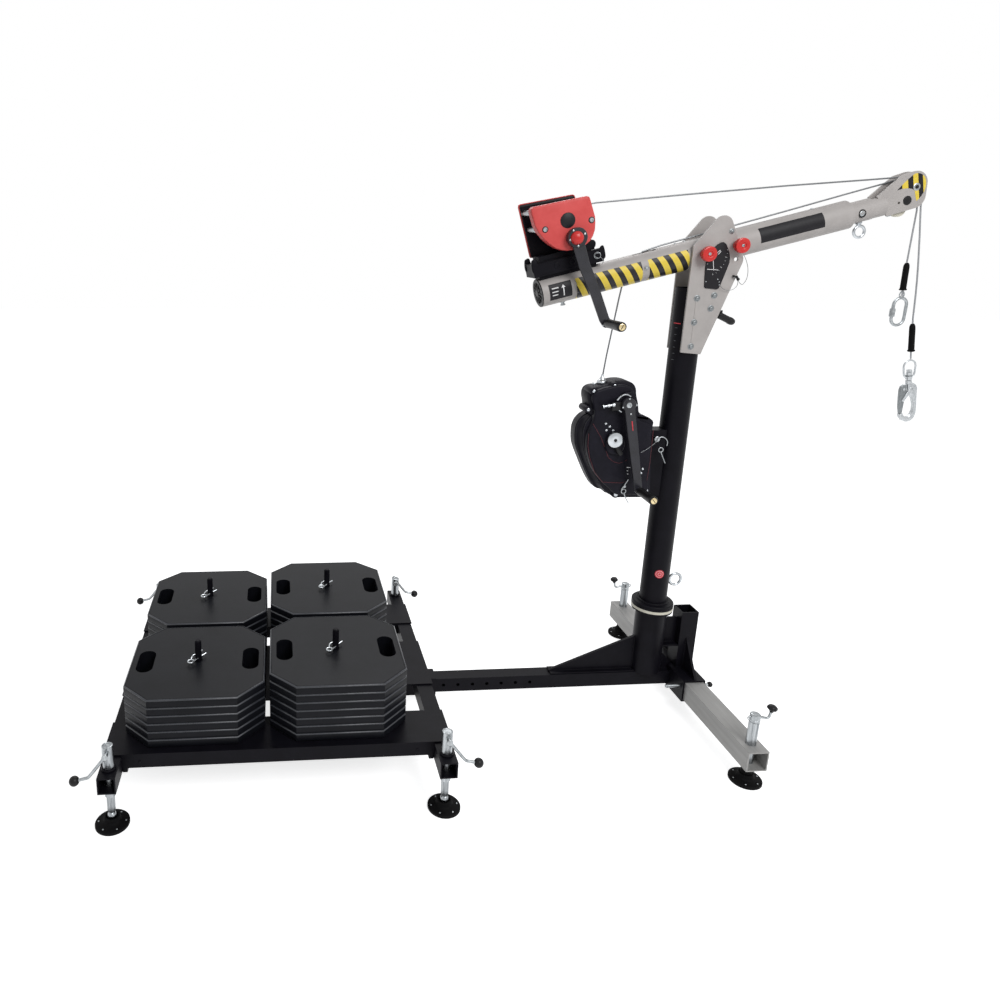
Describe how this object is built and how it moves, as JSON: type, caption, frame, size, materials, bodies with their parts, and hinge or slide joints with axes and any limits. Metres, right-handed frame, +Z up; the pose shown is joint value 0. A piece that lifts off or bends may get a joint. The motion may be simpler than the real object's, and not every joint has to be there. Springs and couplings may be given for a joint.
{
  "type": "dead weight davit",
  "caption": "Freestanding lifting davit: mast with a tilting telescoping boom on a beam and outriggers, held down by stacks of octagonal weight plates.",
  "frame": {"origin": "centre of the part's box at floor level", "axes": "+X along the beam towards the boom's tip, +Y across, +Z up"},
  "size_m": [2.6915, 1.073, 1.8139],
  "materials": {
    "black_paint": "satin black powder coat",
    "grey_paint": "satin warm grey powder coat",
    "bare_aluminium": "satin anodised",
    "zinc_steel": "bright zinc plate",
    "red_paint": "satin red powder coat",
    "black_plastic": "fine grained moulding",
    "red_plastic": "glossy moulding",
    "white_plastic": "cast nylon",
    "pad_rubber": "moulded",
    "wire_rope": "galvanised wire rope"
  },
  "bodies": {
    "base": {"main_beam": "black_paint", "mast_socket": "black_paint", "socket_gussets": "black_paint", "upright_socket": "black_paint", "cross_sleeve": "black_paint", "socket_ring": "white_plastic", "leg_lock_pins": "zinc_steel"},
    "tray": {"tray_side_tubes": "black_paint", "tray_cross_tubes": "black_paint", "deck_plates": "black_paint", "beam_sleeve": "black_paint", "odd_weight_plates": "black_paint", "even_weight_plates": "black_paint", "stack_rods": "black_paint", "rod_clips": "zinc_steel", "rear_jack_tubes": "zinc_steel"},
    "near_leg_body": {"near_leg": "bare_aluminium", "near_jack_tube": "zinc_steel"},
    "far_leg_body": {"far_leg": "bare_aluminium", "far_jack_tube": "zinc_steel"},
    "near_front_foot_body": {"near_front_foot": "pad_rubber"},
    "far_front_foot_body": {"far_front_foot": "pad_rubber"},
    "near_inner_foot_body": {"near_inner_foot": "pad_rubber"},
    "far_inner_foot_body": {"far_inner_foot": "pad_rubber"},
    "near_outer_foot_body": {"near_outer_foot": "pad_rubber"},
    "far_outer_foot_body": {"far_outer_foot": "pad_rubber"},
    "near_front_crank_body": {"near_front_crank": "zinc_steel"},
    "far_front_crank_body": {"far_front_crank": "zinc_steel"},
    "near_outer_handle_body": {"near_outer_handle": "zinc_steel"},
    "far_outer_handle_body": {"far_outer_handle": "zinc_steel"},
    "near_inner_handle_body": {"near_inner_handle": "zinc_steel"},
    "far_inner_handle_body": {"far_inner_handle": "zinc_steel"},
    "mast": {"mast_tube": "black_paint", "mast_collar": "black_paint", "cheek_plates": "grey_paint", "mast_fittings": "zinc_steel", "angle_dial": "black_plastic", "lock_knobs": "red_plastic", "head_lever": "black_paint", "srl_bracket": "black_paint", "srl_body": "black_plastic", "riser_cable": "wire_rope"},
    "boom": {"boom_tube": "grey_paint", "boom_end_cap": "black_plastic", "winch_bracket": "black_paint", "winch_covers": "red_paint", "winch_spacers": "zinc_steel", "winch_cable": "wire_rope", "retrieval_cable": "wire_rope"},
    "inner_boom_body": {"inner_boom": "grey_paint", "boom_eye": "zinc_steel"},
    "sheaves": {"tip_sheaves": "black_paint"},
    "winch_crank_body": {"winch_crank": "black_paint"},
    "winch_grip_body": {"winch_grip": "black_plastic"},
    "srl_crank_body": {"srl_crank": "black_paint"},
    "srl_grip_body": {"srl_grip": "black_plastic"},
    "hook_line_body": {"hook_line": "wire_rope", "snap_hook": "zinc_steel"},
    "link_line_body": {"link_line": "wire_rope", "oval_link": "zinc_steel"}
  },
  "joints": [
    {"name": "tray_slide", "type": "slide", "parent": "base", "child": "tray", "axis": [1, 0, 0], "range_m": [0, 0.3]},
    {"name": "near_leg_slide", "type": "slide", "parent": "base", "child": "near_leg_body", "axis": [0, -1, 0], "range_m": [0, 0.05]},
    {"name": "far_leg_slide", "type": "slide", "parent": "base", "child": "far_leg_body", "axis": [0, 1, 0], "range_m": [0, 0.05]},
    {"name": "near_front_jack", "type": "slide", "parent": "near_leg_body", "child": "near_front_foot_body", "axis": [0, 0, -1], "range_m": [-0.008, 0.06]},
    {"name": "far_front_jack", "type": "slide", "parent": "far_leg_body", "child": "far_front_foot_body", "axis": [0, 0, -1], "range_m": [-0.008, 0.06]},
    {"name": "near_inner_jack", "type": "slide", "parent": "tray", "child": "near_inner_foot_body", "axis": [0, 0, -1], "range_m": [-0.03, 0.06]},
    {"name": "far_inner_jack", "type": "slide", "parent": "tray", "child": "far_inner_foot_body", "axis": [0, 0, -1], "range_m": [-0.03, 0.06]},
    {"name": "near_outer_jack", "type": "slide", "parent": "tray", "child": "near_outer_foot_body", "axis": [0, 0, -1], "range_m": [-0.03, 0.06]},
    {"name": "far_outer_jack", "type": "slide", "parent": "tray", "child": "far_outer_foot_body", "axis": [0, 0, -1], "range_m": [-0.03, 0.06]},
    {"name": "near_front_crank_turn", "type": "hinge", "parent": "near_leg_body", "child": "near_front_crank_body", "pos_m": [0.699, -0.438, 0.21], "axis": [0, 0, 1], "continuous": true},
    {"name": "far_front_crank_turn", "type": "hinge", "parent": "far_leg_body", "child": "far_front_crank_body", "pos_m": [0.699, 0.438, 0.21], "axis": [0, 0, 1], "continuous": true},
    {"name": "near_outer_handle_fold", "type": "hinge", "parent": "tray", "child": "near_outer_handle_body", "pos_m": [-1.186, -0.517, 0.238], "axis": [0, 1, 0], "range_deg": [0, 180]},
    {"name": "far_outer_handle_fold", "type": "hinge", "parent": "tray", "child": "far_outer_handle_body", "pos_m": [-1.186, 0.517, 0.238], "axis": [0, 1, 0], "range_deg": [0, 180]},
    {"name": "near_inner_handle_fold", "type": "hinge", "parent": "tray", "child": "near_inner_handle_body", "pos_m": [-0.247, -0.517, 0.238], "axis": [0, -1, 0], "range_deg": [0, 180]},
    {"name": "far_inner_handle_fold", "type": "hinge", "parent": "tray", "child": "far_inner_handle_body", "pos_m": [-0.247, 0.517, 0.238], "axis": [0, -1, 0], "range_deg": [0, 180]},
    {"name": "mast_swivel", "type": "hinge", "parent": "base", "child": "mast", "pos_m": [0.578, 0, 0.37], "axis": [0, 0, 1], "continuous": true},
    {"name": "boom_tilt", "type": "hinge", "parent": "mast", "child": "boom", "pos_m": [0.578, 0, 1.56], "axis": [0, -1, 0], "range_deg": [-23, 26], "deforming": ["riser_cable"]},
    {"name": "boom_extend", "type": "slide", "parent": "boom", "child": "inner_boom_body", "axis": [0.9686, 0, 0.2487], "range_m": [0, 0.2], "deforming": ["winch_cable", "retrieval_cable"]},
    {"name": "sheave_spin", "type": "hinge", "parent": "inner_boom_body", "child": "sheaves", "pos_m": [1.25071, 0, 1.76679], "axis": [0, 1, 0], "continuous": true},
    {"name": "winch_crank_turn", "type": "hinge", "parent": "boom", "child": "winch_crank_body", "pos_m": [0.16638, -0.07, 1.60298], "axis": [0, 1, 0], "continuous": true},
    {"name": "winch_grip_spin", "type": "hinge", "parent": "winch_crank_body", "child": "winch_grip_body", "pos_m": [0.26909, -0.16, 1.35576], "axis": [0, 1, 0], "continuous": true},
    {"name": "srl_crank_turn", "type": "hinge", "parent": "mast", "child": "srl_crank_body", "pos_m": [0.376, -0.08, 1.098], "axis": [0, 1, 0], "continuous": true},
    {"name": "srl_grip_spin", "type": "hinge", "parent": "srl_crank_body", "child": "srl_grip_body", "pos_m": [0.431, -0.15, 0.822], "axis": [0, 1, 0], "continuous": true},
    {"name": "hook_line_swing", "type": "hinge", "parent": "inner_boom_body", "child": "hook_line_body", "pos_m": [1.25071, 0, 1.76679], "axis": [0, 1, 0], "range_deg": [-30, 30]},
    {"name": "link_line_swing", "type": "hinge", "parent": "inner_boom_body", "child": "link_line_body", "pos_m": [1.25071, 0, 1.76679], "axis": [0, 1, 0], "range_deg": [-30, 30]}
  ]
}
